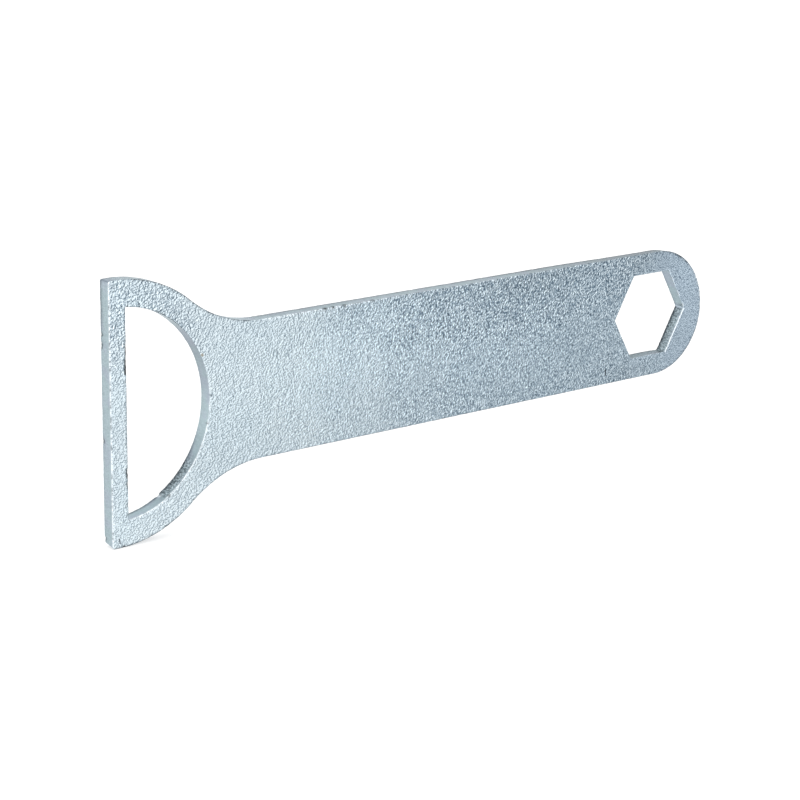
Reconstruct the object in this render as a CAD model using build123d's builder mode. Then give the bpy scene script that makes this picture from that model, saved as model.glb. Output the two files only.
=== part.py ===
from build123d import *
import os

# Fire hydrant wrench: one flat blade of steel plate, with a D-shaped opening in
# a round head at one end and a hexagonal socket at the other.
#
# Frame, in millimetres: the origin is the centre of the hexagonal socket, at
# mid-thickness. +X runs along the shank, away from the head. +Z runs across
# the blade, in its plane. Y is the thickness: the front face is towards -Y.
# Sketches lie on Plane.XZ, so their own X and Y are the blade's X and Z.

# ---- driving dimensions ----
plate_thickness = 5.0
edge_break = 0.3             # chamfer on the cut edges of both faces

hex_across_flats = 32.0      # two of the flats run along the shank
socket_wall = 8.0            # metal beside each of those flats
tip_centre = 3.75            # centre of the rounded end, beyond the socket centre

head_centre = 240.0          # socket centre to the centre of the head's arcs
head_radius = 44.5
head_end = 243.0             # socket centre to the straight end edge
throat_radius = 45.0         # hollow curve from the head down to the shank

rim_width = 9.0              # round the arc of the D
end_bar_width = 6.25         # between the D's straight side and the end edge

# ---- derived ----
half_thickness = plate_thickness / 2
shank_width = hex_across_flats + 2 * socket_wall
opening_radius = head_radius - rim_width
opening_flat = head_end - end_bar_width      # socket centre to the D's straight side


def cut_plane(distance):
    """Plane across the blade, this far from the socket centre towards the head.

    Its top side is the one towards the socket.
    """
    return Plane((-distance, 0, 0), x_dir=(0, 1, 0), z_dir=(1, 0, 0))


def is_throat_corner(vertex):
    """True where the head disc meets one of the shank's long edges."""
    on_long_edge = abs(abs(vertex.Y) - shank_width / 2) < 0.01
    return on_long_edge and -head_centre < vertex.X < -head_centre + head_radius


# ---- the blade ----
with BuildPart() as wrench_plate:
    # outline: shank, round tip and head disc in one profile
    with BuildSketch(Plane.XZ) as outline:
        with Locations((tip_centre, 0)):
            # the shank reaches back from the tip's centre to the head's
            Rectangle(head_centre + tip_centre, shank_width, align=(Align.MAX, Align.CENTER))
            Circle(shank_width / 2)
        with Locations((-head_centre, 0)):
            Circle(head_radius)
        fillet(outline.vertices().filter_by(is_throat_corner), radius=throat_radius)
        split(bisect_by=cut_plane(head_end), keep=Keep.TOP)
    extrude(amount=half_thickness, both=True)

    # D-shaped opening: most of a half disc, closed by the straight end bar
    with BuildSketch(Plane.XZ):
        with Locations((-head_centre, 0)):
            Circle(opening_radius)
        split(bisect_by=cut_plane(opening_flat), keep=Keep.TOP)
    extrude(amount=half_thickness, both=True, mode=Mode.SUBTRACT)

    # hexagonal socket, straight through
    with BuildSketch(Plane.XZ):
        RegularPolygon(radius=hex_across_flats / 2, side_count=6, major_radius=False)
    extrude(amount=half_thickness, both=True, mode=Mode.SUBTRACT)

    # ease every edge of the front and back faces
    front_face, back_face = wrench_plate.faces().filter_by(Axis.Y).sort_by(Axis.Y)
    chamfer(front_face.edges() + back_face.edges(), length=edge_break)

wrench_plate.part.label = "wrench_plate"

os.makedirs("parts", exist_ok=True)
export_step(wrench_plate.part, "parts/wrench_plate.step")
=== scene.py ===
# The blade of a flat, zinc-plated steel wrench, standing on its long edge. X runs along
# the shank, Z across the blade and Y through its thickness, with the front face towards
# -Y. The round head with its D-shaped opening is at the -X end and ends in a straight
# side. The hexagonal hole is at the origin, and the rounded tip is at the +X end.
import math

import bmesh
import bpy
import numpy as np
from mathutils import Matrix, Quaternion, Vector, kdtree
from mathutils.geometry import delaunay_2d_cdt


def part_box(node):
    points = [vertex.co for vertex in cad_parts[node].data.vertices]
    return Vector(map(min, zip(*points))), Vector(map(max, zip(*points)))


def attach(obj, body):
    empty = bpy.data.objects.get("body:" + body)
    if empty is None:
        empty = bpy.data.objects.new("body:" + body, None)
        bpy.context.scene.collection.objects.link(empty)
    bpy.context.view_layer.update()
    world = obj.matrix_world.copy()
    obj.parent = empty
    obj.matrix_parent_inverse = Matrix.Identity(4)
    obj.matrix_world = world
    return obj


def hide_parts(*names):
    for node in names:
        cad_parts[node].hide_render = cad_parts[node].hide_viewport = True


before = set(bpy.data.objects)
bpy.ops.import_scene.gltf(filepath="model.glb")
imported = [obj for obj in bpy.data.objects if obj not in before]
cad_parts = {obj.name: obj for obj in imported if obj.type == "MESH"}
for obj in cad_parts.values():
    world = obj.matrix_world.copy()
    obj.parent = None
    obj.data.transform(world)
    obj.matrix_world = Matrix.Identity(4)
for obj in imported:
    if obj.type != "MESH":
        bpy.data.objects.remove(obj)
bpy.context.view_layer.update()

lo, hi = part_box("wrench_plate")

MM = 0.001

# ------------------------------------------------------------------------------
# Dimensions, in millimetres
# ------------------------------------------------------------------------------
HALF_THICK = (hi.y - lo.y) / MM / 2
END_X = lo.x / MM       # the head's straight side
TIP_X = hi.x / MM
HEAD_R = hi.z / MM
HEAD_X = -240.0         # centre of the head and of the D
SHANK_HALF = 24.0       # half the shank's width, and the tip's radius
TIP_CENTRE_X = 3.75
THROAT_R = 45.0         # concave curve between head and shank
D_R = 35.5
D_FLAT_X = -236.75
HEX_R = 16.0 / math.cos(math.radians(30))  # to the corners

PATH_PITCH = 0.05       # spacing of points: along the paths that outlines are cut from,
OUTER_PITCH = 0.6       # along the finished outlines,
HOLE_PITCH = OUTER_PITCH * 0.9
FRONT_PITCH = 0.66      # and over the two faces
BACK_PITCH = FRONT_PITCH * 1.08

SEAM_ANGLE = -60.3      # degrees round the D, where the cut's two ends meet
FRONT, BACK = -1, 1     # the sign of Y on each side

# Chips and burrs, by outline and side. Columns: x, z, length along the edge, reach in
# from the edge, depth, how dark (0 to 1).
CHIPS = {
    ("d", FRONT): (
        (D_FLAT_X, 18.0, 2.3, 0.16, 0.25, 1.0), (D_FLAT_X, 22.0, 2.2, 0.12, 0.18, 1.0),
        (D_FLAT_X, 14.6, 1.2, 0.16, 0.20, 1.0), (D_FLAT_X, 29.3, 1.2, 0.25, 0.22, 0.5),
        (D_FLAT_X, 10.9, 0.6, 0.20, 0.18, 0.5), (D_FLAT_X, -18.9, 1.3, 0.50, 0.34, 0.9),
        (D_FLAT_X, -21.2, 0.8, 0.30, 0.24, 0.7), (D_FLAT_X, -23.4, 1.4, 0.34, 0.24, 0.75),
        (D_FLAT_X, -30.6, 0.8, 0.30, 0.22, 0.6), (-207.24, 15.46, 0.7, 0.5, 0.25, 0.35),
        (-205.4, -8.2, 0.5, 0.45, 0.30, 0.6), (-207.9, -15.3, 0.4, 0.35, 0.25, 0.4),
        (-221.0, -30.1, 0.6, 0.5, 0.30, 0.7),
    ),
    ("outer", FRONT): (
        (END_X, -30.0, 0.5, 0.20, 0.20, 0.4), (-238.9, -44.5, 0.6, 0.35, 0.25, 0.6),
        (-228.0, -42.9, 0.5, 0.25, 0.20, 0.5), (-222.2, -40.8, 0.5, 0.25, 0.20, 0.5),
        (-211.2, -34.0, 0.5, 0.25, 0.20, 0.6), (-156.5, SHANK_HALF, 0.8, 0.42, 0.24, 1.0),
        (-153.3, SHANK_HALF, 0.65, 0.38, 0.22, 1.0), (-148.1, SHANK_HALF, 0.8, 0.50, 0.26, 1.0),
        (-136.0, SHANK_HALF, 0.9, 0.30, 0.22, 0.6), (-120.5, SHANK_HALF, 0.6, 0.25, 0.20, 0.5),
    ),
    ("outer", BACK): (
        (END_X, 26.6, 0.9, 0.30, 0.35, 0.9), (END_X, 23.0, 1.5, 0.34, 0.40, 0.9),
        (END_X, -8.7, 1.2, 0.30, 0.36, 0.9), (END_X, -42.6, 1.2, 0.35, 0.40, 0.6),
    ),
}

# Vertex attributes: the cut wall, soot, how torn the wall is, painted highlight on the
# edges, painted shade line along an edge, and painted light and shade on the wall.
MASKS = ("cut_wall", "soot", "torn", "painted_highlight", "dark_line", "wall_light")


# ------------------------------------------------------------------------------
# Outlines in the XZ plane. Metal is on the left of the direction of travel.
# ------------------------------------------------------------------------------
def arc(x, z, radius, start, end):
    steps = max(8, int(abs(end - start) * radius / PATH_PITCH))
    angle = np.linspace(start, end, steps + 1)
    return np.stack([x + radius * np.cos(angle), z + radius * np.sin(angle)], 1)


def line(start, end):
    start, end = np.asarray(start, float), np.asarray(end, float)
    steps = max(8, int(np.hypot(*(end - start)) / PATH_PITCH))
    t = np.linspace(0, 1, steps + 1)[:, None]
    return start * (1 - t) + end * t


def length_along(path):
    return np.r_[0, np.cumsum(np.hypot(*np.diff(path, axis=0).T))]


def walk(path, pitch):
    """Evenly spaced points from the start of a path up to, not including, its end."""
    along = length_along(path)
    steps = max(2, round(along[-1] / pitch))
    stops = np.linspace(0, along[-1], steps + 1)[:-1]
    return np.stack([np.interp(stops, along, path[:, axis]) for axis in (0, 1)], 1)


def close_loop(paths, trim, pitch):
    """Joins paths into one ring, each corner rounded by a curve trim mm long per side."""
    trimmed = []
    for path in paths:
        along = length_along(path)
        trimmed.append(path[(along >= trim - 1e-9) & (along <= along[-1] - trim + 1e-9)])
    parts = []
    t = np.linspace(0, 1, 6)[:-1, None]
    for i, path in enumerate(paths):
        parts.append(walk(trimmed[i], pitch))
        before, corner, after = trimmed[i][-1], path[-1], trimmed[(i + 1) % len(paths)][0]
        parts.append((1 - t) ** 2 * before + 2 * t * (1 - t) * corner + t**2 * after)
    return np.concatenate(parts)


throat_z = SHANK_HALF + THROAT_R
throat_dx = math.sqrt((HEAD_R + THROAT_R) ** 2 - throat_z**2)
throat_x = HEAD_X + throat_dx
throat_angle = math.atan2(throat_z, throat_dx)
end_angle = math.acos((END_X - HEAD_X) / HEAD_R)
end_z = HEAD_R * math.sin(end_angle)
outer_parts = [
    arc(HEAD_X, 0, HEAD_R, -end_angle, -throat_angle),
    arc(throat_x, -throat_z, THROAT_R, math.pi - throat_angle, math.pi / 2),
    line((throat_x, -SHANK_HALF), (TIP_CENTRE_X, -SHANK_HALF)),
    arc(TIP_CENTRE_X, 0, SHANK_HALF, -math.pi / 2, math.pi / 2),
    line((TIP_CENTRE_X, SHANK_HALF), (throat_x, SHANK_HALF)),
    arc(throat_x, throat_z, THROAT_R, -math.pi / 2, throat_angle - math.pi),
    arc(HEAD_X, 0, HEAD_R, throat_angle, end_angle),
]
outer_curve = np.concatenate(outer_parts[:1] + [part[1:] for part in outer_parts[1:]])
outer = close_loop([outer_curve, line((END_X, end_z), (END_X, -end_z))], 0.75, OUTER_PITCH)

d_angle = math.acos((D_FLAT_X - HEAD_X) / D_R)
d_z = D_R * math.sin(d_angle)
d_loop = close_loop(
    [arc(HEAD_X, 0, D_R, d_angle, -d_angle), line((D_FLAT_X, -d_z), (D_FLAT_X, d_z))],
    0.35,
    HOLE_PITCH,
)

hex_corners = [
    (HEX_R * math.cos(-k * math.pi / 3), HEX_R * math.sin(-k * math.pi / 3)) for k in range(7)
]
hex_sides = [line(hex_corners[i], hex_corners[i + 1]) for i in range(6)]
hex_loop = close_loop(hex_sides, 0.35, HOLE_PITCH)


# ------------------------------------------------------------------------------
# Seeded relief and soft steps
# ------------------------------------------------------------------------------
class Field:
    """A band-limited random field, tiled and read with bilinear lookup. An aspect
    below 1 narrows the features along the second coordinate less than the first."""

    SIZE = 256

    def __init__(self, seed, wave, aspect=1.0):
        white = np.random.default_rng(seed).standard_normal((self.SIZE, self.SIZE))
        self.step = wave / 6
        frequency = np.fft.fftfreq(self.SIZE, self.step)
        freq_x, freq_y = np.meshgrid(frequency, frequency)
        radius = np.hypot(freq_x, freq_y * aspect) * wave
        spectrum = radius * np.exp(-(radius**2))
        values = np.fft.ifft2(np.fft.fft2(white) * spectrum).real
        self.values = values / values.std()

    def __call__(self, x, y):
        col_at, row_at = np.asarray(x) / self.step, np.asarray(y) / self.step
        col, row = np.floor(col_at).astype(int), np.floor(row_at).astype(int)
        a, b = col_at - col, row_at - row
        size, values = self.SIZE, self.values
        return (
            values[row % size, col % size] * (1 - a) * (1 - b)
            + values[row % size, (col + 1) % size] * a * (1 - b)
            + values[(row + 1) % size, col % size] * (1 - a) * b
            + values[(row + 1) % size, (col + 1) % size] * a * b
        )


roll_fine = Field(seed=11, wave=2.6)  # the plate's rolled skin
roll_wide = Field(seed=12, wave=14.0)
edge_wave = Field(seed=21, wave=6.0)  # how straight the cut runs
edge_chip = Field(seed=22, wave=1.6)  # how evenly the cut edge is broken
striae = Field(seed=31, wave=1.3, aspect=0.12)  # drag lines of the cut
pits = Field(seed=32, wave=1.1)


def ease(t):
    return t * t * (3 - 2 * t)


def bump(distance, radius):
    """1 at the centre, 0 beyond the radius."""
    return ease(np.clip(1 - (distance / radius) ** 2, 0, 1))


def rise(value, start, end):
    return ease(np.clip((np.asarray(value) - start) / (end - start), 0, 1))


def fall(value, start, end):
    return 1 - rise(value, start, end)


# ------------------------------------------------------------------------------
# How each outline's edges were left, and where light and shade are painted on them,
# point by point. Each function returns: how torn the wall is, the painted highlight and
# painted shade along the front edge, painted shade along the back edge, painted light
# and shade on the wall, and how far the wall leans into the metal at the back, in mm.
# dots is random, 0 to 1, and breaks the marks up along the edge.
# ------------------------------------------------------------------------------
def hex_edges(x, z, dots):
    angle = np.degrees(np.arctan2(z, x))
    right_low = (angle > -60) & (angle < -0.5)
    right_up = (angle >= -0.5) & (angle < 60)
    low = (angle <= -60) & (angle > -120)

    def by_side(in_right_low, in_right_up, in_low, elsewhere):
        sides = [right_low, right_up, low]
        return np.select(sides, [in_right_low, in_right_up, in_low], elsewhere)

    torn = np.where((angle > -60) & (angle < -1), 0.85, np.where(low, 0.35, 0.12))
    shine = by_side(
        0.85 + 0.15 * dots, 0.95 * rise(dots, 0.25, 0.8), 0.35 * dots, 0.15 * dots
    )
    back = by_side(1.0, 0.18, 0.55, 0.1)
    # painted light and shade: the upper right walls lighter, the lower wall darker
    wall_light = by_side(1.0, 1.06, 0.80, 1.0)
    return torn, shine, 0.15 * dots, back, wall_light, 0.02 + 0.34 * rise(x, 3, 11)


def around_d(x, z):
    """Angle round the D in degrees, and whether a point is on its arc."""
    return np.degrees(np.arctan2(z, x - HEAD_X)), x > D_FLAT_X + 0.2


def d_edges(x, z, dots):
    angle, on_arc = around_d(x, z)
    torn = ease(np.clip((-29 - angle) / 11, 0, 1) * (angle > SEAM_ANGLE))
    torn = torn * (0.8 + 0.2 * bump(angle + 42, 18))
    torn = np.where(on_arc, np.maximum(torn, 0.10), 0.35)
    lower = on_arc * rise(-angle, 18, 34)
    upper_shine = 0.75 * dots * rise(-angle, -28, 0)
    lower_shine = (0.6 + 0.4 * dots) * rise(-angle, 4, 22)
    shine = np.where(on_arc, np.maximum(upper_shine, lower_shine), 0.25 * dots)
    front = np.where(
        on_arc,
        0.85 * dots * rise(angle, 40, 62) + 0.3 * (1 - dots) * lower,
        0.2 + 0.6 * rise(dots, 0.3, 0.9),
    )
    back = 0.65 * lower + 0.12 * on_arc
    wall_light = 0.90 - 0.07 * rise(angle, 0, 14) - 0.06 * rise(angle, 14, 24)
    wall_light = wall_light + 0.06 * rise(-angle, 6, 16) * fall(-angle, 24, 34)
    wall_light = wall_light + 0.15 * lower + 0.20 * rise(-angle, 60, 72) * on_arc
    return torn, shine, front, back, wall_light, np.full(len(x), 0.04)


def outer_edges(x, z, dots):
    # regions: the straight end, the upper side from head to shank, the lower side, the tip
    end = x < END_X + 0.4
    top = (z > 0) & ~end
    crown = top * fall(x, -237, -228)
    throat = top * rise(x, -237, -231) * fall(x, -190, -184)
    shank_top = top * rise(x, -188, -180)
    under = (z < 0) & ~end
    tip = rise(x, -5, 15)

    torn = 0.15 + 0.20 * bump(z + SHANK_HALF, 3) * (x > -185)

    shank_shine = 0.85 * shank_top * (0.32 + 0.68 * dots)
    shank_shine = shank_shine * (1 - 0.22 * rise(x, -150, -110)) * (1 - 0.6 * rise(x, -90, -45))
    tip_shine = tip * rise(z, -6, 2) * fall(z, 16, 20) * rise(dots, 0.25, 0.6)
    shine = np.where(end, 0.72 + 0.28 * dots, shank_shine + tip_shine)

    under_dark = under * np.minimum(0.3 + 0.3 * fall(x, -222, -212) + 0.7 * dots, 1)
    under_dark = under_dark * (
        1.0 - 0.15 * rise(x, -222, -212) - 0.25 * rise(x, -205, -190) - 0.25 * tip
    )
    tip_dark = 0.35 - 0.3 * rise(z, -8, 0) * fall(z, 13, 18) + 0.4 * rise(z, 17, 21)
    front = 0.45 * shank_top * fall(dots, 0.08, 0.35) + throat * (0.45 + 0.55 * dots)
    front = front + under_dark
    front = front + (0.7 * end * fall(dots, 0.0, 0.16) + tip * tip_dark + 0.1 * tip * (z < 0))

    shank_back = (0.85 + 0.15 * rise(x, -140, -90)) * shank_top
    shank_back = shank_back * (0.6 + 0.4 * dots + 0.2 * rise(x, -100, -70))
    back = np.where(
        end, 0.10 + 0.5 * rise(z, 20, 34), shank_back + 0.3 * throat + 0.5 * crown
    )

    wall_light = np.where(end, 0.89, 0.92) - 0.03 * shank_top
    wall_light = wall_light - 0.14 * shank_top * rise(x, -80, -45) - 0.24 * top * rise(x, -45, -15)
    wall_light = wall_light - 0.24 * top * fall(x, -222, -200) * rise(x, -238, -228)
    return torn, shine, front, back, wall_light, 0.02 + 0.36 * rise(x, -50, -5)


EDGES = {"outer": outer_edges, "d": d_edges, "hex": hex_edges}


# ------------------------------------------------------------------------------
# Edge rings
# ------------------------------------------------------------------------------
def inward_normals(outline):
    tangent = np.roll(outline, -1, 0) - np.roll(outline, 1, 0)
    tangent /= np.hypot(*tangent.T)[:, None]
    return np.stack([-tangent[:, 1], tangent[:, 0]], 1)


def chip_edge(kind, side, x, z, ragged):
    """Depth, reach and darkness of the chips along one edge."""
    depth, reach, dark = np.zeros((3, len(x)))
    for chip_x, chip_z, length, chip_reach, chip_depth, chip_dark in CHIPS.get((kind, side), ()):
        near = bump(np.hypot(x - chip_x, z - chip_z), length)
        depth = np.maximum(depth, near * chip_depth * ragged)
        reach = np.maximum(reach, near * chip_reach * ragged)
        dark = np.maximum(dark, np.clip(near * 1.6, 0, 1) * chip_dark)
    return depth, reach, dark


def build_rings(kind, outline, seed):
    """Rings from the front face, over the front edge, down the cut wall and over the
    back edge. Returns positions (rings, points, 3) and masks (masks, rings, points)."""
    count = len(outline)
    x, z = outline.T
    inward = inward_normals(outline)
    along = length_along(outline)
    total = along[-1] + np.hypot(*(outline[0] - outline[-1]))
    # the relief is read round a circle, so that the ring closes on itself
    turn = along / total * 2 * math.pi
    u, v = total / (2 * math.pi) * np.cos(turn), total / (2 * math.pi) * np.sin(turn)
    waver = 0.03 * edge_wave(u + 17 * seed, v)
    jitter = 0.75 * edge_chip(u * 1.1 + 31, v * 1.1 + 5 * seed)
    jitter = jitter + 0.6 * edge_chip(u * 2.3 + 7, v * 2.3) + 0.45 * edge_wave(u + 50, v)
    dots = np.clip(0.42 + 0.6 * jitter, 0, 1)
    torn, shine_at, dark_at, back_at, wall_light, lean = EDGES[kind](x, z, dots)

    # radii of the broken edges, wider where the painted highlight runs
    front_r = 0.17 + 0.13 * np.maximum(shine_at, dark_at)
    front_r = front_r + 0.05 * edge_chip(u + 5 * seed, v) * (0.5 + torn)
    if kind == "outer":
        front_r = front_r + 0.12 * rise(shine_at, 0.5, 0.8) * (x > END_X + 0.4)
    else:
        front_r = front_r + 0.12 * rise(shine_at, 0.55, 0.85)
    front_r = np.clip(front_r, 0.09, 0.5)
    back_r = np.clip(0.15 + 0.06 * edge_chip(u, v + 9 * seed) * (0.6 + torn), 0.07, 0.5)
    tip = rise(x, 0, 14) * (kind == "outer")

    ragged = np.clip(1 + 0.35 * edge_chip(u, v + 3), 0.3, 1.8)
    front_chip, front_reach, front_soot = chip_edge(kind, FRONT, x, z, ragged)
    back_chip, back_reach, back_soot = chip_edge(kind, BACK, x, z, ragged)

    # at the D's seam the two ends of the cut miss each other and leave a nub
    miss, nub = np.zeros((2, count))
    if kind == "d":
        angle, on_arc = around_d(x, z)
        miss = 0.22 * np.clip((SEAM_ANGLE - angle) / 0.9, 0, 1)
        miss = miss * np.clip((angle + 84) / 14, 0, 1) * on_arc
        nub = bump(angle - SEAM_ANGLE, 1.5) * on_arc

    # each ring: inset, y, then the masks
    rings = []

    def add_ring(inset, y, wall, soot, shine, dark):
        # never outside the nominal outline
        inset = np.maximum(inset, 0) + np.maximum(waver, 0) + miss
        values = (inset, y, wall, soot, torn, shine, dark, wall_light)
        rings.append([np.broadcast_to(value, count) for value in values])

    def drop(q):
        """Depth of a quarter round of radius 1 at q from its outer side."""
        return 1 - math.sqrt(max(0.0, 1 - (1 - q) ** 2))

    # front edge: distance in as a part of the radius, soot, weight of the painted highlight and
    # of the painted shade line
    for q, soot, weight in ((1.0, 0.45, 0.35), (0.62, 0.9, 1.0), (0.30, 1, 1.0), (0.09, 1, 0.8)):
        add_ring(
            inset=(front_r + front_reach) * q,
            y=-HALF_THICK + (front_r + front_chip) * drop(q),
            wall=0.35 * (1 - q),
            soot=front_soot * soot,
            shine=shine_at * np.maximum(weight, 0.9 * tip),
            dark=dark_at * np.maximum(weight, tip),
        )

    # cut wall, from -1 at the front edge to 1 at the back edge
    wall_front = -HALF_THICK + front_r + front_chip
    wall_back = HALF_THICK - back_r - back_chip
    drag = striae(u + 3 * seed, v)
    back_weights = (0, 0, 0, 0, 0, 0.05, 0.25, 0.75, 1.0)
    for i, depth in enumerate(np.linspace(-1, 1, 9)):
        y = (wall_front + wall_back) / 2 + (wall_back - wall_front) / 2 * depth
        pitted = 0.055 * (pits(u + y * 1.3, v - y * 1.1) + 1) * (0.4 + 0.6 * (depth > -0.2))
        inset = lean * (1 + depth) / 2 + torn * (0.06 * (drag + 1) + pitted)
        inset = inset + 0.006 * (drag + 1)
        dark = np.maximum(dark_at * (0.3 if i == 0 else 0), back_at * back_weights[i])
        add_ring(
            inset=inset + 0.40 * nub * (depth > 0.1) * (0.5 + 0.5 * depth),
            y=y,
            wall=1.0,
            soot=np.maximum(
                front_soot * np.clip(0.9 - 0.45 * i, 0, 1),
                back_soot * np.clip(0.9 - 0.45 * (8 - i), 0, 1),
            ),
            shine=np.maximum(shine_at * (0.35 if i == 0 else 0), nub * 0.8 * (depth > 0.3)),
            dark=dark * (1 - nub),
        )

    # back edge: distance in, soot, weight of the painted shade line
    for q, soot, weight in ((0.09, 1, 0.8), (0.30, 1, 1.0), (0.62, 0.9, 1.0), (1.0, 0.45, 0.5)):
        add_ring(
            inset=lean + (back_r + back_reach) * q + 0.40 * nub,
            y=HALF_THICK - (back_r + back_chip) * drop(q),
            wall=0.35 * (1 - q),
            soot=back_soot * soot,
            shine=nub * 0.8,
            dark=back_at * weight * (1 - nub),
        )

    layers = np.array(rings).transpose(1, 0, 2)
    xz = outline + inward * layers[0][..., None]
    points = np.stack([xz[..., 0], layers[1], xz[..., 1]], 2)
    if kind == "outer":  # the straight end's lower back corner is knocked off
        near = bump(np.hypot(points[..., 0] - END_X, (points[..., 2] + end_z) * 0.6), 2.4)
        near = near * np.clip((points[..., 1] + HALF_THICK) / (2 * HALF_THICK), 0, 1)
        points[..., 2] += 0.95 * near
        points[..., 0] += 0.18 * near
    return points, layers[2:]


# ------------------------------------------------------------------------------
# The two faces
# ------------------------------------------------------------------------------
def inside_ring(points, ring):
    x, z = points.T
    inside = np.zeros(len(points), bool)
    for (x0, z0), (x1, z1) in zip(ring, np.roll(ring, -1, 0)):
        if z0 == z1:
            continue
        spans = (z0 > z) != (z1 > z)
        inside ^= spans & (x < (x1 - x0) * (z - z0) / (z1 - z0) + x0)
    return inside


def in_metal(points, outlines):
    rim, *holes = [inside_ring(points, outline) for outline in outlines]
    return rim & ~holes[0] & ~holes[1]


def fill_face(edge_points, edge_rings, y, pitch, shift, base):
    """Triangulates one face between its three edge rings. shift moves the random
    relief, base is the number of the first new vertex. Returns vertices, triangles."""
    outlines = [edge_points[ring][:, [0, 2]] for ring in edge_rings]
    edge_xz = np.concatenate(outlines)
    tree = kdtree.KDTree(len(edge_xz))
    for i, (x, z) in enumerate(edge_xz):
        tree.insert((x, z, 0), i)
    tree.balance()

    # a jittered triangular grid, kept clear of the edges
    grid = []
    for i, z in enumerate(np.arange(-HEAD_R, HEAD_R, pitch * math.sqrt(3) / 2)):
        x = np.arange(END_X, TIP_X, pitch) + (i % 2) * pitch / 2
        grid.append(np.stack([x, np.full(len(x), z)], 1))
    grid = np.concatenate(grid)
    grid += np.random.default_rng(5 + shift).uniform(-0.12, 0.12, grid.shape) * pitch
    grid = grid[in_metal(grid, outlines)]
    gap = np.array([tree.find((x, z, 0))[2] for x, z in grid])
    clear = gap > pitch * 0.62
    grid, gap = grid[clear], gap[clear]

    edges, start = [], 0
    for outline in outlines:
        count = len(outline)
        edges += [(start + i, start + (i + 1) % count) for i in range(count)]
        start += count
    flat = np.concatenate([edge_xz, grid])
    result = delaunay_2d_cdt([Vector(point) for point in flat], edges, [], 0, 1e-7)
    triangles = np.array(result[2])
    origin = np.array([source[0] if source else -1 for source in result[3]])
    triangles = origin[triangles[(origin[triangles] >= 0).all(1)]]
    triangles = triangles[in_metal(flat[triangles].mean(1), outlines)]

    # wind outwards
    a, b, c = (flat[triangles[:, corner]] for corner in range(3))
    ab, ac = b - a, c - a
    normal_y = ab[:, 1] * ac[:, 0] - ab[:, 0] * ac[:, 1]
    flipped = (normal_y > 0) != (y > 0)
    triangles[flipped] = triangles[flipped][:, ::-1]

    # the relief only sinks into the metal, so the blade keeps its gauge
    x, z = grid.T
    relief = 0.5 + 0.16 * roll_fine(x + shift, z) + 0.16 * roll_wide(x, z + shift)
    sink = 0.05 * np.clip(relief, 0, 1) * np.clip(gap / 1.2, 0, 1)
    vertices = np.stack([x, y + np.sign(-y) * sink, z], 1)
    numbers = np.concatenate([*edge_rings, base + np.arange(len(grid))])
    return vertices, numbers[triangles]


# ------------------------------------------------------------------------------
# Mesh
# ------------------------------------------------------------------------------
vertex_parts, mask_parts, faces = [], [], []
strips = []  # per outline: positions, vertex numbers, pieces in the texture layout
vertex_count = 0
for kind, outline, seed, pieces in (
    ("outer", outer, 1, 3), ("d", d_loop, 2, 1), ("hex", hex_loop, 3, 1)
):
    points, masks = build_rings(kind, outline, seed)
    numbers = vertex_count + np.arange(masks[0].size).reshape(masks[0].shape)
    after = np.roll(numbers, -1, axis=1)
    quads = np.stack([numbers[:-1], numbers[1:], after[1:], after[:-1]], 2)
    faces += quads.reshape(-1, 4).tolist()
    vertex_parts.append(points.reshape(-1, 3))
    mask_parts.append(masks.reshape(len(MASKS), -1))
    strips.append((points, numbers, pieces))
    vertex_count += numbers.size

edge_points = np.concatenate(vertex_parts)
for ring, y, pitch, shift in (
    (0, -HALF_THICK, FRONT_PITCH, 0), (-1, HALF_THICK, BACK_PITCH, 40)
):
    edge_rings = [numbers[ring] for _, numbers, _ in strips]
    points, triangles = fill_face(edge_points, edge_rings, y, pitch, shift, vertex_count)
    masks = np.zeros((len(MASKS), len(points)))
    masks[MASKS.index("wall_light")] = 1.0
    faces += triangles.tolist()
    vertex_parts.append(points)
    mask_parts.append(masks)
    vertex_count += len(points)
vertices = np.concatenate(vertex_parts)

mesh = bpy.data.meshes.new("zinc_plate")
mesh.from_pydata((vertices * MM).tolist(), [], faces)
mesh.validate(verbose=False)
bm = bmesh.new()
bm.from_mesh(mesh)
bmesh.ops.recalc_face_normals(bm, faces=bm.faces)
if bm.calc_volume(signed=True) < 0:  # the normals may have settled inwards
    bmesh.ops.reverse_faces(bm, faces=bm.faces)
bm.to_mesh(mesh)
bm.free()
mesh.polygons.foreach_set("use_smooth", [True] * len(mesh.polygons))
for name, values in zip(MASKS, np.concatenate(mask_parts, axis=1)):
    attribute = mesh.attributes.new(name, "FLOAT", "POINT")
    attribute.data.foreach_set("value", values.astype(np.float32))

# Texture layout, in parts of the square: the two faces flat, one above the other, then
# the walls rolled out as strips, the long outer one in three pieces.
UV_MARGIN = 0.00390625
UV_PER_MM = 0.003662109375
UV_BACK_FACE = 0.33203125   # from the front face up to the back face
UV_STRIPS = 0.67578125      # foot of the first strip
UV_STRIP_PITCH = 0.048828125
UV_STRIP_LENGTH = 0.986328125
UV_STRIP_HEIGHT = 0.0390625


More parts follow.
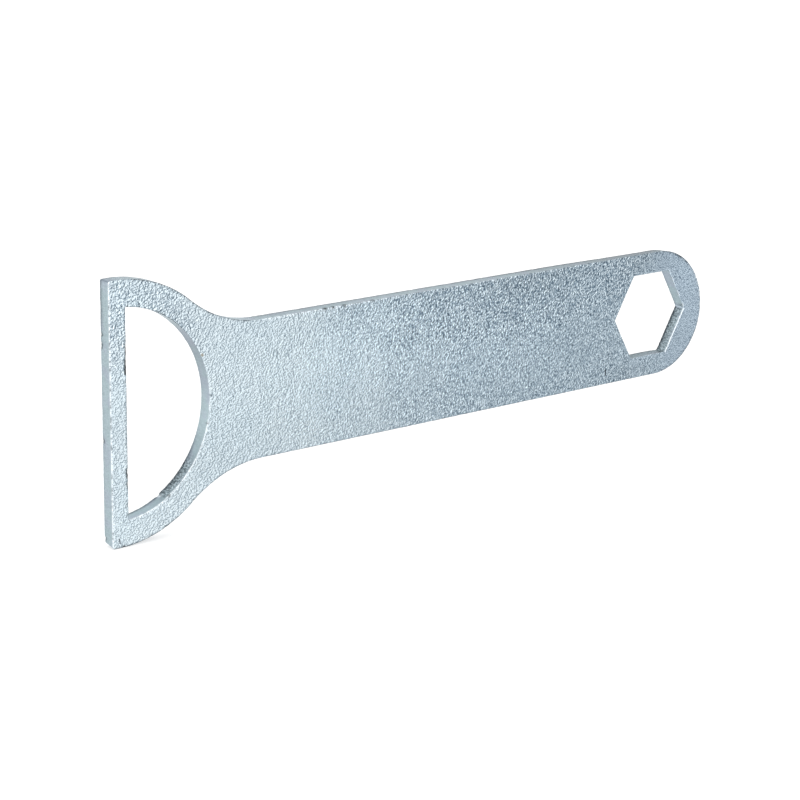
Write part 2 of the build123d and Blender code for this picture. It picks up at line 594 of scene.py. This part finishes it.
def lay_out(mesh):
    sizes = np.zeros(len(mesh.polygons), np.int32)
    mesh.polygons.foreach_get("loop_total", sizes)
    corner = np.zeros(len(mesh.loops), np.int32)
    mesh.loops.foreach_get("vertex_index", corner)
    owner = np.repeat(np.arange(len(sizes)), sizes)
    x, y, z = vertices[corner].T
    u = UV_MARGIN + (x - END_X) * UV_PER_MM
    v = UV_MARGIN + (z + HEAD_R) * UV_PER_MM + np.where(y > 0, UV_BACK_FACE, 0)
    first_face, row = 0, 0
    for points, numbers, pieces in strips:
        rings, count = numbers.shape
        face_count = (rings - 1) * count
        mine = (owner >= first_face) & (owner < first_face + face_count)
        column = (owner[mine] - first_face) % count
        ring, place = np.divmod(corner[mine] - numbers[0, 0], count)
        rim = points[0][:, [0, 2]]
        along = length_along(np.concatenate([rim, rim[:1]]))
        total = along[-1]
        reached = np.where((column == count - 1) & (place == 0), total, along[place])
        # a quad belongs to the piece it starts in, so a strip may run on by one quad
        piece = np.minimum((along[column] / total * pieces).astype(int), pieces - 1)
        u[mine] = UV_MARGIN + (reached / total * pieces - piece) * UV_STRIP_LENGTH
        steps = np.linalg.norm(np.diff(points, axis=0), axis=2).mean(1)
        depth = np.r_[0, np.cumsum(steps)]
        v[mine] = UV_STRIPS + (row + piece) * UV_STRIP_PITCH
        v[mine] += depth[ring] / depth[-1] * UV_STRIP_HEIGHT
        first_face += face_count
        row += pieces
    layout = mesh.uv_layers.new(name="OFBake")
    layout.data.foreach_set("uv", np.stack([u, v], 1).astype(np.float32).ravel())


lay_out(mesh)
plate = bpy.data.objects.new("zinc_plate_wrench", mesh)
bpy.context.scene.collection.objects.link(plate)


# ------------------------------------------------------------------------------
# Node building
# ------------------------------------------------------------------------------
class Signal:
    """A node's output. Arithmetic on it adds the math nodes that work it out."""

    def __init__(self, nodes, socket):
        self.nodes, self.socket = nodes, socket

    def math(self, operation, *values):
        return self.nodes.add("ShaderNodeMath", dict(enumerate(values)), operation=operation)

    def __add__(self, other):
        return self.math("ADD", self, other)

    def __radd__(self, other):
        return self.math("ADD", other, self)

    def __sub__(self, other):
        return self.math("SUBTRACT", self, other)

    def __rsub__(self, other):
        return self.math("SUBTRACT", other, self)

    def __mul__(self, other):
        return self.math("MULTIPLY", self, other)

    def __truediv__(self, other):
        return self.math("DIVIDE", self, other)

    def maximum(self, other):
        return self.math("MAXIMUM", self, other)

    def exponent(self):
        return self.math("EXPONENT", self)

    def clamped(self):
        """Clamps the math node this signal comes from to 0..1."""
        self.socket.node.use_clamp = True
        return self

    def ramp(self, start, end, to=(0.0, 1.0), kind="SMOOTHSTEP"):
        """Maps start..end onto the two values of to."""
        inputs = {"Value": self, "From Min": start, "From Max": end}
        inputs.update({"To Min": to[0], "To Max": to[1]})
        return self.nodes.add(
            "ShaderNodeMapRange", inputs, "Result", interpolation_type=kind, clamp=True
        )


class Nodes:
    def __init__(self, tree):
        tree.nodes.clear()
        self.tree = tree

    def add(self, kind, inputs, output=0, **props):
        """Adds a node, fills its inputs with signals or values, returns one output."""
        node = self.tree.nodes.new(kind)
        for name, value in props.items():
            setattr(node, name, value)
        for key, value in inputs.items():
            if isinstance(value, Signal):
                self.tree.links.new(value.socket, node.inputs[key])
            else:
                node.inputs[key].default_value = value
        return Signal(self, node.outputs[output])

    def surface(self, kind, shader):
        self.tree.links.new(shader.socket, self.tree.nodes.new(kind).inputs["Surface"])

    def split(self, vector):
        node = self.add("ShaderNodeSeparateXYZ", {0: vector}).socket.node
        return [Signal(self, socket) for socket in node.outputs]

    def vector(self, operation, *values, scale=None):
        inputs = dict(enumerate(values))
        if scale is not None:
            inputs["Scale"] = scale
        output = "Value" if operation in ("DOT_PRODUCT", "LENGTH") else "Vector"
        return self.add("ShaderNodeVectorMath", inputs, output, operation=operation)

    def noise(self, vector, scale, detail=2.0, roughness=0.5):
        inputs = {"Vector": vector, "Scale": scale, "Detail": detail, "Roughness": roughness}
        return self.add("ShaderNodeTexNoise", inputs, "Fac")

    def mix(self, factor, a, b):
        """Mixes two colours; inputs 6 and 7 and output 2 are the node's colour ones."""
        a, b = ((*c, 1.0) if isinstance(c, tuple) else c for c in (a, b))
        return self.add("ShaderNodeMix", {0: factor, 6: a, 7: b}, 2, data_type="RGBA")


# ------------------------------------------------------------------------------
# Zinc: positions and scales in millimetres
# ------------------------------------------------------------------------------
zinc = bpy.data.materials.new("zinc_plated_steel")
zinc.use_nodes = True
nodes = Nodes(zinc.node_tree)
noise, mix = nodes.noise, nodes.mix
point = nodes.vector("SCALE", nodes.add("ShaderNodeTexCoord", {}, "Object"), scale=1 / MM)
x, y, z = nodes.split(point)
wall, soot, torn, painted_highlight, dark_line, wall_light = (
    nodes.add("ShaderNodeAttribute", {}, "Fac", attribute_name=name) for name in MASKS
)
face = 1.0 - wall


def spot(at_x, at_z, radius, stroke=None, ragged=0.6):
    """1 inside a ragged spot on the front face, or along a stroke (x, z), 0 outside."""
    away = nodes.vector("SUBTRACT", point, (at_x, -HALF_THICK, at_z))
    if stroke:
        way = (stroke[0], 0, stroke[1])
        t = nodes.vector("DOT_PRODUCT", away, way) / (stroke[0] ** 2 + stroke[1] ** 2)
        along = nodes.vector("SCALE", way, scale=t.clamped())
        away = nodes.vector("SUBTRACT", away, along)
    fray = (noise(point, scale=1.7, roughness=0.6) - 0.5) * (ragged * 3)
    distance = nodes.vector("LENGTH", away) + fray
    return distance.ramp(radius * 0.5, radius * 1.3, to=(1.0, 0.0))


# relief of the rolled, plated face: shallow flats with steep little sides
grain_at = nodes.vector("MULTIPLY", point, (1.08, 1.0, 1.3))
grain = noise(grain_at, scale=1.4, detail=0.0) * 0.85 + noise(grain_at, 2.8, detail=0.0) * 0.15
grain_height = grain.ramp(0.38, 0.64) * 0.8 + grain

# the cut: drag lines drawn out along the thickness, more torn and pitted to the back
drag_at = nodes.vector("MULTIPLY", point, (1.0, 0.12, 1.0))
drag = noise(drag_at, scale=2.4, detail=3.0, roughness=0.6)
torn_depth = torn * y.ramp(-1.9, -0.4, to=(0.55, 1.0))
cut = drag * 0.5 + noise(point, scale=2.6, roughness=0.6) * 0.5
cut_height = cut * 8.0 * torn_depth + drag * 0.7

# the grain is coarser and deeper over the middle of the blade, most of all along its
# upper half, and round the top of the head; it fades round the hexagon
drift = (noise(point, scale=0.05) - 0.5) * 60.0
drift_x, drift_z = x + drift, z + drift * 0.35
middle = drift_x.ramp(-178.0, -98.0) * drift_x.ramp(-14.0, 10.0, to=(1.0, 0.0))
upper = middle * drift_z.ramp(-3.0, 15.0) * drift_x.ramp(-70.0, -5.0, to=(1.0, 0.35))
crown = drift_x.ramp(-200.0, -225.0) * drift_z.ramp(4.0, 26.0)
hex_end = drift_x.ramp(-14.0, 10.0)
amount = 1.0 + middle * 0.30 + upper * 0.35 + crown * 0.75 - hex_end * 0.58
height = grain_height * amount * face + cut_height * wall

# bright zinc face, bluer and duller in patches
blotch = noise(point, scale=0.12, detail=3.0, roughness=0.55)
broad = noise(point, scale=0.035).ramp(0.35, 0.65)
face_colour = mix(broad, (0.735, 0.812, 0.836), (0.77, 0.832, 0.846))
face_colour = mix(blotch.ramp(0.35, 0.7, to=(0.0, 0.35)), face_colour, (0.71, 0.78, 0.812))
# painted shade: the middle of the blade, most of all its upper half, is darkened where it
# reflects the dark studio
face_colour = mix(upper * 0.22 + middle * 0.50, face_colour, (0.52, 0.60, 0.64))
face_colour = mix(hex_end * 0.6, face_colour, (0.625, 0.700, 0.762))

# Painted light and shade: soft lighter and darker patches that stand in for the blade's uneven
# reflections. Columns: centre x, z, radii in x and z, gain
PATCHES = (
    (-122.0, 5.0, 48.0, 17.0, 0.12), (-72.0, -3.0, 28.0, 13.0, 0.09),
    (-66.0, 22.5, 26.0, 5.5, -0.31), (-60.0, -22.5, 45.0, 4.5, -0.04),
    (-136.0, 14.0, 26.0, 16.0, 0.14), (-28.0, 16.0, 10.0, 9.0, 0.05),
    (-8.0, 21.5, 10.0, 5.0, -0.26), (-9.0, -21.5, 10.0, 5.0, -0.17),
    (17.0, 14.0, 9.0, 13.0, 0.15), (25.0, 0.0, 6.0, 12.0, 0.10),
    (-114.0, 16.0, 14.0, 8.0, 0.09), (-56.0, 8.0, 10.0, 7.0, 0.05),
    (-240.0, 30.0, 8.0, 18.0, 0.12), (-224.0, 36.0, 13.0, 8.0, 0.11),
    (-90.0, 3.0, 42.0, 14.0, 0.04), (-240.0, -5.0, 6.0, 14.0, -0.045),
    (-200.0, -22.0, 34.0, 12.0, -0.045), (-40.0, 10.0, 22.0, 8.0, 0.03),
)


def patch(at_x, at_z, radius_x, radius_z, gain):
    across_x = (x + drift * 0.25 - at_x) / radius_x
    across_z = (z + drift * 0.15 - at_z) / radius_z
    return ((across_x * across_x + across_z * across_z) * -1.0).exponent() * gain


painted_patches = patch(*PATCHES[0])
for row in PATCHES[1:]:
    painted_patches = painted_patches + patch(*row)
bluer = mix(drift_x.ramp(-170.0, -60.0), (1.010, 1.0, 0.988), (0.985, 1.0, 1.016))
# painted light and shade: the patches scale the face colour
face_colour = nodes.vector("SCALE", face_colour, scale=painted_patches + 1.0)
face_colour = nodes.vector("MULTIPLY", face_colour, bluer)

# dark pin-pricks
specks = noise(point, scale=2.3, detail=1.0).ramp(0.25, 0.60, to=(0.42, 0.0))
specks = specks * ((1.0 - hex_end * 0.85) * (1.0 + upper * 0.7))
face_colour = mix(specks, face_colour, (0.40, 0.49, 0.56))

# dark and near-white flecks, strongest over the middle: the dark ones partly a dull film on the
# zinc and partly painted shade in pits, the near-white ones painted glints
film_shade_and_glints_at = {0: x * 2.1 - z * 0.85, 1: y + (x * 0.55 + z * 0.3), 2: z * 0.85 - x * 0.4}
film_shade_and_glints_at = nodes.add("ShaderNodeCombineXYZ", film_shade_and_glints_at)
film_shade_and_glints = noise(film_shade_and_glints_at, scale=1.42, detail=1.0, roughness=0.45)
film_shade_and_glints_depth = ((middle * 0.42 + upper * 0.38 + crown * 0.42) * 1.65).clamped()
face_colour = mix(film_shade_and_glints.ramp(0.49, 0.395) * film_shade_and_glints_depth, face_colour, (0.155, 0.225, 0.285))
face_colour = mix(film_shade_and_glints.ramp(0.51, 0.595) * film_shade_and_glints_depth, face_colour, (0.92, 0.985, 1.0))

# single marks: a scuff and rust beside the D, nicks under the shank and the head
scuff = spot(-206.2, 0.4, radius=0.34, stroke=(1.4, 1.0), ragged=0.25)
scuff = scuff.maximum(spot(-204.8, 1.5, radius=0.30, stroke=(1.2, -0.5), ragged=0.25)) * 0.75
face_colour = mix(scuff, face_colour, (0.22, 0.26, 0.29))
rust = spot(-207.4, 15.3, radius=0.55) * 0.8
face_colour = mix(rust, face_colour, (0.42, 0.36, 0.26))
nick = spot(-22.7, -18.4, radius=0.34, stroke=(0.25, -2.0), ragged=0.2) * 0.95
nick = nick.maximum(spot(-240.5, -41.4, radius=0.3, stroke=(0.3, -1.5), ragged=0.3) * 0.8)
face_colour = mix(nick, face_colour, (0.10, 0.12, 0.14))

# the cut wall carries the same zinc, duller, with faint lilac and green in it
wall_colour = mix(blotch.ramp(0.36, 0.56), (0.435, 0.480, 0.530), (0.428, 0.517, 0.525))
wall_colour = mix(drag.ramp(0.35, 0.65, to=(0.0, 0.25)), wall_colour, (0.50, 0.56, 0.60))
torn_colour = mix(cut.ramp(0.41, 0.57), (0.12, 0.15, 0.16), (0.50, 0.58, 0.60))
grit_at = nodes.vector("MULTIPLY", point, (1.0, 0.62, 1.0))
grit = noise(grit_at, scale=1.75, detail=1.0, roughness=0.6)
torn_colour = mix(grit.ramp(0.48, 0.33, to=(0.0, 0.85)), torn_colour, (0.055, 0.075, 0.085))
torn_colour = mix(grit.ramp(0.53, 0.68, to=(0.0, 0.85)), torn_colour, (0.74, 0.82, 0.84))
wall_colour = mix(torn_depth, wall_colour, torn_colour)
# painted light and shade: the shank's top wall is brighter to the front and darker to the back
shank_top = z.ramp(22.5, 23.3) * x.ramp(-190.0, -180.0)
wall_light = wall_light * (shank_top * y.ramp(-2.0, 2.0, to=(0.11, -0.08), kind="LINEAR") + 1.0)
# painted light and shade: each stretch of the cut wall is made lighter or darker
wall_colour = nodes.vector("SCALE", wall_colour, scale=wall_light)

# painted highlight and painted shade along the edges, then the black slag left along the D's
# straight side
colour = mix(wall, face_colour, wall_colour)
# painted highlight: a pale line along the broken front edges, and on the nub at the D's seam
colour = mix((painted_highlight * 0.9).clamped(), colour, (0.93, 0.955, 0.96))
# painted shade: a broken dark line along the back edges and along parts of the front edges
line_break = noise(point, scale=1.3, detail=3.0, roughness=0.65).ramp(0.30, 0.52, to=(0.35, 1.0))
colour = mix((dark_line * line_break).clamped(), colour, (0.05, 0.06, 0.07))
slag = spot(-237.1, 17.9, radius=0.55, stroke=(0.0, -4.2), ragged=0.20)
slag = slag.maximum(spot(-236.95, 22.4, radius=0.28, stroke=(0.0, -4.6), ragged=0.20))
slag = slag.maximum(spot(-237.12, -18.1, radius=0.34, stroke=(0.0, -3.0), ragged=0.22))
soot_break = noise(point, scale=1.9, detail=3.0, roughness=0.6).ramp(0.32, 0.5)
black = slag.maximum(soot * soot_break)
colour = mix(black * 0.95, colour, (0.035, 0.045, 0.045))

face_rough = grain.ramp(0.3, 0.7, to=(0.16, 0.12), kind="LINEAR")
face_rough = face_rough + hex_end * 0.06 + (scuff + rust) * 0.3
wall_rough = cut.ramp(0.3, 0.7, to=(0.36, 0.26), kind="LINEAR")
rough = (face_rough * face + wall_rough * wall + black * 0.45).clamped()

relief = {"Strength": 1.0, "Distance": 0.000069, "Height": height}
metal = {
    "Metallic": 1.0,
    "Base Color": colour,
    "Roughness": rough,
    "Normal": nodes.add("ShaderNodeBump", relief),
}
nodes.surface("ShaderNodeOutputMaterial", nodes.add("ShaderNodeBsdfPrincipled", metal))
mesh.materials.append(zinc)

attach(plate, "root")
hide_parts("wrench_plate")

# ------------------------------------------------------------------------------
# Floor, in metres: pale, and unseen in the metal
# ------------------------------------------------------------------------------
FLOOR_HALF = 6.0
FLOOR_GAP = 0.00002

scene = bpy.context.scene
floor_z = lo.z - FLOOR_GAP
floor_mesh = bpy.data.meshes.new("floor")
floor_corners = [
    (sx * FLOOR_HALF, sy * FLOOR_HALF, floor_z) for sx, sy in ((-1, -1), (1, -1), (1, 1), (-1, 1))
]
floor_mesh.from_pydata(floor_corners, [], [(0, 1, 2, 3)])
floor = bpy.data.objects.new("floor", floor_mesh)
scene.collection.objects.link(floor)
floor_pale = bpy.data.materials.new("floor_pale")
floor_pale.use_nodes = True
floor_inputs = floor_pale.node_tree.nodes["Principled BSDF"].inputs
floor_inputs["Base Color"].default_value = (0.52, 0.52, 0.52, 1)
floor_inputs["Emission Color"].default_value = (1, 1, 1, 1)
floor_inputs["Emission Strength"].default_value = 0.58
floor_inputs["Roughness"].default_value = 0.9
floor_inputs["Specular IOR Level"].default_value = 0.0
floor_mesh.materials.append(floor_pale)
floor.visible_glossy = False

# ------------------------------------------------------------------------------
# Studio: what the metal sees is much the same in front of the blade and behind it
# ------------------------------------------------------------------------------
world = bpy.data.worlds.new("studio")
scene.world = world
world.use_nodes = True
studio = Nodes(world.node_tree)
to_x, to_y, to_z = studio.split(studio.add("ShaderNodeTexCoord", {}, "Generated"))
off_face = to_y.math("ABSOLUTE", to_y)


def beyond(azimuth, soft, tilt=0.0):
    """0 straight off the face, 1 past azimuth degrees from its axis towards +X."""
    angle = math.radians(azimuth)
    side = to_x * math.cos(angle) - off_face * math.sin(angle) + to_z * tilt
    return side.ramp(-soft, soft)


def lobe(azimuth, elevation, spread, amount):
    """A soft round patch of light, or of shade if amount is negative; in degrees."""
    a, e = math.radians(azimuth), math.radians(elevation)
    toward = to_x * (math.sin(a) * math.cos(e)) + off_face * (math.cos(a) * math.cos(e))
    toward = toward + to_z * math.sin(e)
    return ((toward - 1.0) * (1 / math.radians(spread) ** 2)).exponent() * amount


past = beyond(azimuth=43.5, soft=0.045, tilt=-0.42)
level = (1.0 - past) * 1.315 + past * 0.61
level = level + lobe(azimuth=43.8, elevation=-8.8, spread=5.4, amount=-1.2)
level = level + lobe(azimuth=52.0, elevation=-13.8, spread=10.5, amount=0.40)
level = level + lobe(azimuth=-41.0, elevation=-27.0, spread=7.0, amount=-0.55)
# a bright panel towards -X, in front only, that the broken edges catch
panel = lobe(azimuth=-33.0, elevation=18.0, spread=15.0, amount=0.8)
level = level + panel * to_y.ramp(-0.30, -0.05, to=(1.0, 0.0))
level = level - beyond(azimuth=68.0, soft=0.2) * 0.35
# darker behind and above, below, and straight off the face
level = level * (1.0 - to_y.ramp(0.0, 0.5) * to_z.ramp(-0.05, 0.4) * 0.42)
level = level * to_z.ramp(-0.85, -0.40, to=(0.45, 1.0))
level = level * (1.0 - off_face.ramp(0.90, 0.975) * 0.40)
level = level.maximum(0.06)
tint = {0: (level - 0.060).maximum(0.03), 1: level, 2: level + 0.055}  # a little blue
tint = studio.add("ShaderNodeCombineXYZ", tint)

# reflections see the studio, everything else an even white
plain = {"Color": (1, 1, 1, 1), "Strength": 1.22}
shaders = {
    0: studio.add("ShaderNodeLightPath", {}, "Is Glossy Ray"),
    1: studio.add("ShaderNodeBackground", plain),
    2: studio.add("ShaderNodeBackground", {"Color": tint}),
}
studio.surface("ShaderNodeOutputWorld", studio.add("ShaderNodeMixShader", shaders))

# ------------------------------------------------------------------------------
# Camera
# ------------------------------------------------------------------------------
camera_data = bpy.data.cameras.new("camera")
camera_data.sensor_width = 36.0
camera_data.lens = 107.7326
camera_data.clip_start = 0.01
camera_data.clip_end = 50
camera = bpy.data.objects.new("camera", camera_data)
scene.collection.objects.link(camera)
camera.rotation_mode = "QUATERNION"
camera.location = (-0.641150, -0.625987, 0.209105)
camera.rotation_quaternion = Quaternion((0.7499966, 0.5686114, -0.2101286, -0.2646359))
scene.camera = camera

scene.view_settings.view_transform = "Standard"
scene.view_settings.look = "None"
